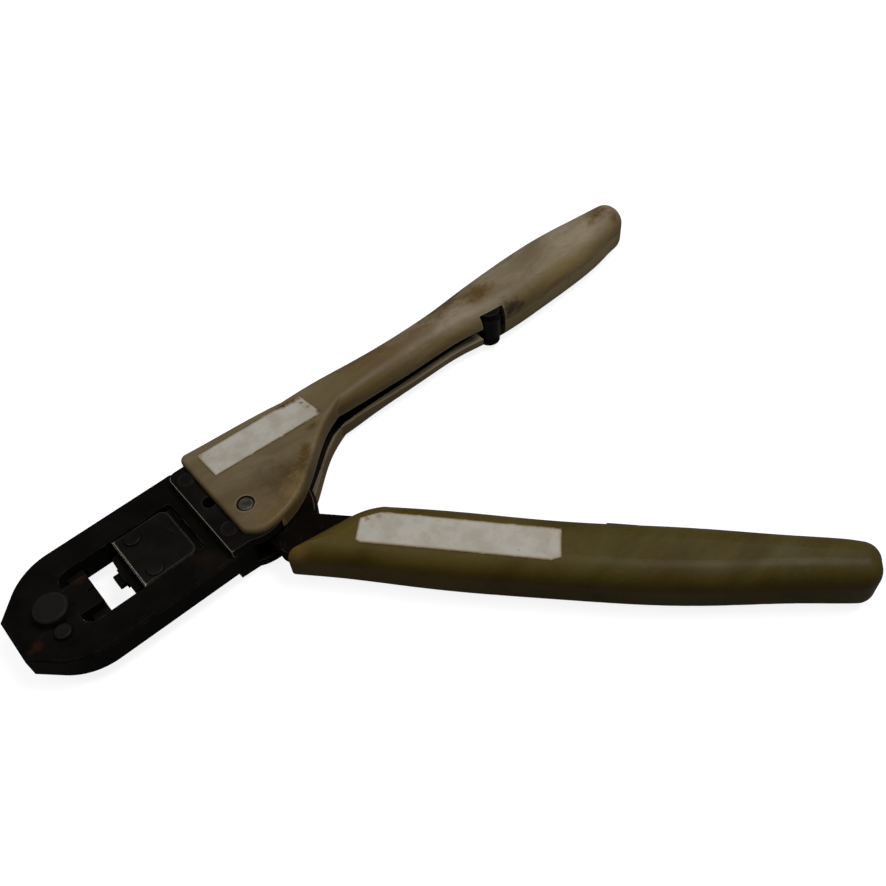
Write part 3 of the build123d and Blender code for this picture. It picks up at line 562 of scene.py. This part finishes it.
def paperMaterial(name, look):
    grain = paperGrain
    material, tree, shader = newMaterial(name)
    place = objectPlace(tree)
    cloud = noise(tree, place, grain["cloudScale"], 4.0, 0.6)
    base = mixColor(tree, mapRange(tree, cloud, 0.35, 0.65), look["aged"], look["paper"])
    edge = tree.nodes.new("ShaderNodeVertexColor")
    edge.layer_name = "rim"
    parts = tree.nodes.new("ShaderNodeSeparateColor")  # red is the dark edge line, green the yellow band
    feed(tree, parts.inputs[0], edge.outputs["Color"])
    broken = mapRange(tree, noise(tree, place, grain["brokenScale"], 5.0, 0.65), 0.3, 0.5, 0.35, 1.0)
    yellowed = maths(tree, "MULTIPLY", parts.outputs["Green"], broken)
    base = tint(tree, base, yellowed, look["bandStrength"], look["band"])
    darkened = maths(tree, "MULTIPLY", parts.outputs["Red"], broken)
    base = tint(tree, base, darkened, look["rimStrength"], look["rim"])
    specks = mapRange(tree, noise(tree, place, grain["speckScale"], 2.0, 0.6), 0.68, 0.74)
    base = tint(tree, base, specks, grain["speckStrength"], look["rim"])
    base = addStains(tree, base, place, look["stains"], grain["stainBreakup"], grain["stainRagged"])
    feed(tree, shader.inputs["Base Color"], base)
    feed(tree, shader.inputs["Roughness"], mapRange(tree, cloud, 0.3, 0.7, *grain["rough"]))
    shader.inputs["Specular IOR Level"].default_value = grain["specular"]
    fibre = noise(tree, place, grain["fibreScale"], 3.0, 0.7)
    height = maths(tree, "ADD", cloud, maths(tree, "MULTIPLY", fibre, grain["fibreHeight"]))
    feed(tree, shader.inputs["Normal"], bumpFrom(tree, height, grain["bump"], grain["bumpDepth"]))
    return material


def surfaceBelow(node):
    # asks the node's own mesh for its top at a place seen from above
    mesh = nodes[node].data
    matrix = nodes[node].matrix_world
    points = [matrix @ v.co for v in mesh.vertices]
    tree = BVHTree.FromPolygons(points, [tuple(f.vertices) for f in mesh.polygons])

    def top(x, y):
        return tree.ray_cast(Vector((x, y, 0.1)), Vector((0, 0, -1)))[0].z
    return top


def foldHeight(point, folds):
    highest = 0.0
    for fold in folds:
        a, b = mm(*fold["from"], 0), mm(*fold["to"], 0)
        along = min(1.0, max(0.0, (point - a).dot(b - a) / (b - a).length_squared))
        distance = (point - a - along * (b - a)).length
        highest = max(highest, fold["height"] / 1000 * (1.0 - distance / (fold["width"] / 1000)))
    return highest


def cutSheet(sheet, look):
    corners = [mm(*corner, 0) for corner in look["corners"]]
    columns = round((corners[3] - corners[0]).length / sheetShape["cell"])
    rows = round((corners[1] - corners[0]).length / sheetShape["cell"])
    grid = []
    for i in range(columns + 1):
        u = i / columns
        low, high = corners[0].lerp(corners[3], u), corners[1].lerp(corners[2], u)
        grid.append([sheet.verts.new(low.lerp(high, j / rows)) for j in range(rows + 1)])
    for i in range(columns):
        for j in range(rows):
            sheet.faces.new((grid[i][j], grid[i + 1][j], grid[i + 1][j + 1], grid[i][j + 1]))
    for a, b in look["cuts"]:
        a, b = mm(*a, 0), mm(*b, 0)
        outward = (b - a).cross(Vector((0, 0, 1)))
        everything = sheet.verts[:] + sheet.edges[:] + sheet.faces[:]
        bmesh.ops.bisect_plane(sheet, geom=everything, plane_co=a, plane_no=outward, clear_outer=True)


def laySheet(sheet, look, top, border):
    for v in border:
        torn = Vector((wander(v.co * sheetShape["raggedScale"]),
                       wander(v.co * sheetShape["raggedScale"] + Vector((5, 0, 0))), 0))
        v.co += look["ragged"] / 1000 * torn
    for v in sheet.verts:
        ripple = sheetShape["ripple"] * wander(v.co * sheetShape["rippleScale"])
        fold = foldHeight(v.co * Vector((1, 1, 0)), look["folds"])
        v.co.z = top(v.co.x, v.co.y) + sheetShape["thick"] + ripple + fold


def markEdge(sheet, rim, border):
    reached, rings = set(border), [border]
    while len(rings) < len(sheetShape["edgeRings"]):
        rings.append({e.other_vert(v) for v in rings[-1] for e in v.link_edges} - reached)
        reached |= rings[-1]
    for v in sheet.verts:
        v[rim] = (0.0, 0.0, 0.0, 1.0)
    for ring, (dark, yellow) in zip(rings, sheetShape["edgeRings"]):
        for v in ring:
            v[rim] = (dark, yellow, 0.0, 1.0)


def hangSkirt(sheet, rim, top):
    # built edge by edge, because the extrude operator makes its faces in another order on each run
    lowered = {}
    for loop in [e.link_loops[0] for e in sheet.edges if e.is_boundary]:
        ends = (loop.link_loop_next.vert, loop.vert)
        for v in ends:
            if v not in lowered:
                lowered[v] = sheet.verts.new((v.co.x, v.co.y, top(v.co.x, v.co.y) - sheetShape["tuckedIn"]))
                lowered[v][rim] = v[rim]
        sheet.faces.new((*ends, lowered[ends[1]], lowered[ends[0]]))


def makeLabel(look):
    sheet = bmesh.new()
    rim = sheet.verts.layers.float_color.new("rim")  # first, since a new layer drops the points held so far
    cutSheet(sheet, look)
    top = surfaceBelow(look["on"])
    border = {v for v in sheet.verts if v.is_boundary}
    laySheet(sheet, look, top, border)
    markEdge(sheet, rim, border)
    hangSkirt(sheet, rim, top)
    bmesh.ops.recalc_face_normals(sheet, faces=sheet.faces)
    mesh = bpy.data.meshes.new(look["name"])
    sheet.to_mesh(mesh)
    sheet.free()
    made = bpy.data.objects.new(look["name"], mesh)
    bpy.context.scene.collection.objects.link(made)
    mesh.materials.append(paperMaterial(look["name"] + "Paper", look))
    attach(made, look["body"])


casingLabel = {
    "name": "casingLabel", "on": "casing_near", "body": "frame", "ragged": 0.06,
    "corners": [(-1.4, 5.5), (-1.6, 17.7), (40.2, 15.5), (41.5, 3.2)],
    "cuts": [((40.4, 2.9), (41.9, 4.6)), ((-0.4, 18.2), (-2.2, 16.8))],
    "folds": [{"from": (38.3, 15.4), "to": (38.1, 12.1), "height": 0.35, "width": 0.9},
              {"from": (38.1, 12.1), "to": (38.9, 7.6), "height": 0.4, "width": 0.9},
              {"from": (38.9, 7.6), "to": (41.3, 4.2), "height": 0.35, "width": 0.9}],
    "paper": (0.4, 0.374, 0.328), "aged": (0.335, 0.305, 0.25), "rim": (0.04, 0.019, 0.005),
    "rimStrength": 0.95, "band": (0.23, 0.155, 0.07), "bandStrength": 0.75,
    "stains": [
        # the torn brown strip along the top edge, then the crease
        stain((28.5, 16.1, 20.9), 1.3, 0.8, (0.2, 0.12, 0.05), ragged=0.3),
        stain((31.0, 15.9, 20.9), 1.7, 1.0, (0.11, 0.05, 0.012), ragged=0.3),
        stain((33.0, 15.5, 20.9), 2.0, 1.0, (0.06, 0.022, 0.006), ragged=0.3),
        stain((34.9, 15.2, 20.9), 2.0, 1.0, (0.075, 0.03, 0.008), ragged=0.3),
        stain((36.9, 14.9, 20.9), 1.9, 1.0, (0.1, 0.05, 0.016), ragged=0.3),
        stain((38.9, 14.4, 20.9), 1.5, 0.9, (0.13, 0.075, 0.03), ragged=0.3),
        stain((38.5, 11.9, 20.9), 1.1, 0.9, (0.11, 0.065, 0.027), ragged=0.3),
        stain((39.1, 8.8, 20.9), 1.1, 0.8, (0.09, 0.06, 0.035), ragged=0.3),
        stain((40.8, 4.3, 20.9), 1.7, 0.9, (0.07, 0.045, 0.022), ragged=0.3),
        stain((-1.0, 17.0, 20.9), 1.6, 0.6, (0.2, 0.12, 0.05)),
    ],
}
gripLabel = {
    "name": "gripLabel", "on": "moving_grip", "body": "handle", "ragged": 0.04,
    "corners": [(17.1, -46.5), (26.4, -38.2), (68.2, -87.3), (59.8, -95.8)],
    "cuts": [((31.0, -43.6), (23.8, -40.4)), ((17.8, -46.0), (18.6, -48.1)), ((57.4, -93.0), (60.7, -94.8))],
    "folds": [],
    "paper": (0.41, 0.384, 0.336), "aged": (0.35, 0.318, 0.26), "rim": (0.036, 0.018, 0.004),
    "rimStrength": 0.95, "band": (0.22, 0.145, 0.06), "bandStrength": 0.8,
    "stains": [
        stain((25.5, -42.5, 20.9), 1.6, 0.7, (0.17, 0.1, 0.035)),
        stain((29.0, -44.4, 20.9), 1.6, 0.5, (0.2, 0.12, 0.05)),
        stain((17.6, -46.6, 20.9), 1.6, 0.5, (0.18, 0.11, 0.05)),
    ],
}
for look in (casingLabel, gripLabel):
    makeLabel(look)
print("paper labels laid")


# camera and light

camera = {  # the photograph's viewing angle
    "place": mm(-58.21, -200.62, 280.15),
    "right": (0.75609, -0.65173, -0.05976),
    "down": (-0.54152, -0.57171, -0.61637),
    "forward": (0.36754, 0.49839, -0.78518),
    "focalPixels": 980.92, "imagePixels": 886.0, "sensor": 36.0, "nearest": 0.01, "farthest": 20.0,
}


def makeCamera():
    data = bpy.data.cameras.new("photoCamera")
    data.sensor_width = camera["sensor"]
    data.lens = camera["focalPixels"] * camera["sensor"] / camera["imagePixels"]
    data.clip_start = camera["nearest"]
    data.clip_end = camera["farthest"]
    made = bpy.data.objects.new("photoCamera", data)
    bpy.context.scene.collection.objects.link(made)
    right, down, forward = (Vector(camera[k]) for k in ("right", "down", "forward"))
    turn = Matrix((right, -down, -forward)).transposed()
    made.matrix_world = Matrix.Translation(camera["place"]) @ turn.to_4x4()
    bpy.context.scene.camera = made


lamps = [
    {"name": "mainSoft", "at": (0.42, -0.22, 0.95), "aim": (0.1, -0.04, 0.0), "size": 0.5, "power": 6.8},
    {"name": "leftSoft", "at": (-0.45, 0.05, 0.9), "aim": (0.06, -0.03, 0.0), "size": 0.5, "power": 1.8},
]


def makeLamp(lamp):
    data = bpy.data.lights.new(lamp["name"], "AREA")
    data.shape = "DISK"
    data.size = lamp["size"]
    data.energy = lamp["power"]
    made = bpy.data.objects.new(lamp["name"], data)
    bpy.context.scene.collection.objects.link(made)
    made.location = lamp["at"]
    made.rotation_mode = "QUATERNION"
    made.rotation_quaternion = (Vector(lamp["aim"]) - Vector(lamp["at"])).to_track_quat("-Z", "Y")


studio = {
    "around": 0.2, "inGloss": 0.08, "inView": 1.0,  # the world's strength on the object, in gloss, on camera
    "floorHalf": 3.0, "floorDrop": 0.00005, "floorColor": (0.24, 0.24, 0.24), "floorRough": 0.8,
    "floorInView": 0.86,  # glow that only the camera sees, so the floor is white and keeps the shadow
}


def makeWorld():
    world = bpy.data.worlds.new("studio")
    bpy.context.scene.world = world
    world.use_nodes = True
    tree = world.node_tree
    tree.nodes.clear()
    output = tree.nodes.new("ShaderNodeOutputWorld")
    background = tree.nodes.new("ShaderNodeBackground")
    path = tree.nodes.new("ShaderNodeLightPath")
    around = mapRange(tree, path.outputs["Is Glossy Ray"], 0.0, 1.0, studio["around"], studio["inGloss"],
                      smooth=False)
    strength = mapRange(tree, path.outputs["Is Camera Ray"], 0.0, 1.0, around, studio["inView"], smooth=False)
    background.inputs["Color"].default_value = (1.0, 1.0, 1.0, 1.0)
    feed(tree, background.inputs["Strength"], strength)
    tree.links.new(background.outputs[0], output.inputs["Surface"])


def makeFloor():
    mesh = bpy.data.meshes.new("studioFloor")
    half = studio["floorHalf"]
    corners = [(-half, -half, 0), (half, -half, 0), (half, half, 0), (-half, half, 0)]
    mesh.from_pydata(corners, [], [(0, 1, 2, 3)])
    made = bpy.data.objects.new("studioFloor", mesh)
    bpy.context.scene.collection.objects.link(made)
    made.location.z = -studio["floorDrop"]
    material, tree, shader = newMaterial("paleFloor")
    shader.inputs["Base Color"].default_value = (*studio["floorColor"], 1.0)
    shader.inputs["Roughness"].default_value = studio["floorRough"]
    shader.inputs["Emission Color"].default_value = (1.0, 1.0, 1.0, 1.0)
    path = tree.nodes.new("ShaderNodeLightPath")
    glow = maths(tree, "MULTIPLY", path.outputs["Is Camera Ray"], studio["floorInView"])
    feed(tree, shader.inputs["Emission Strength"], glow)
    mesh.materials.append(material)


makeCamera()
for lamp in lamps:
    makeLamp(lamp)
makeWorld()
makeFloor()
bpy.context.scene.view_settings.view_transform = "Standard"
print("camera, lamps and floor ready")
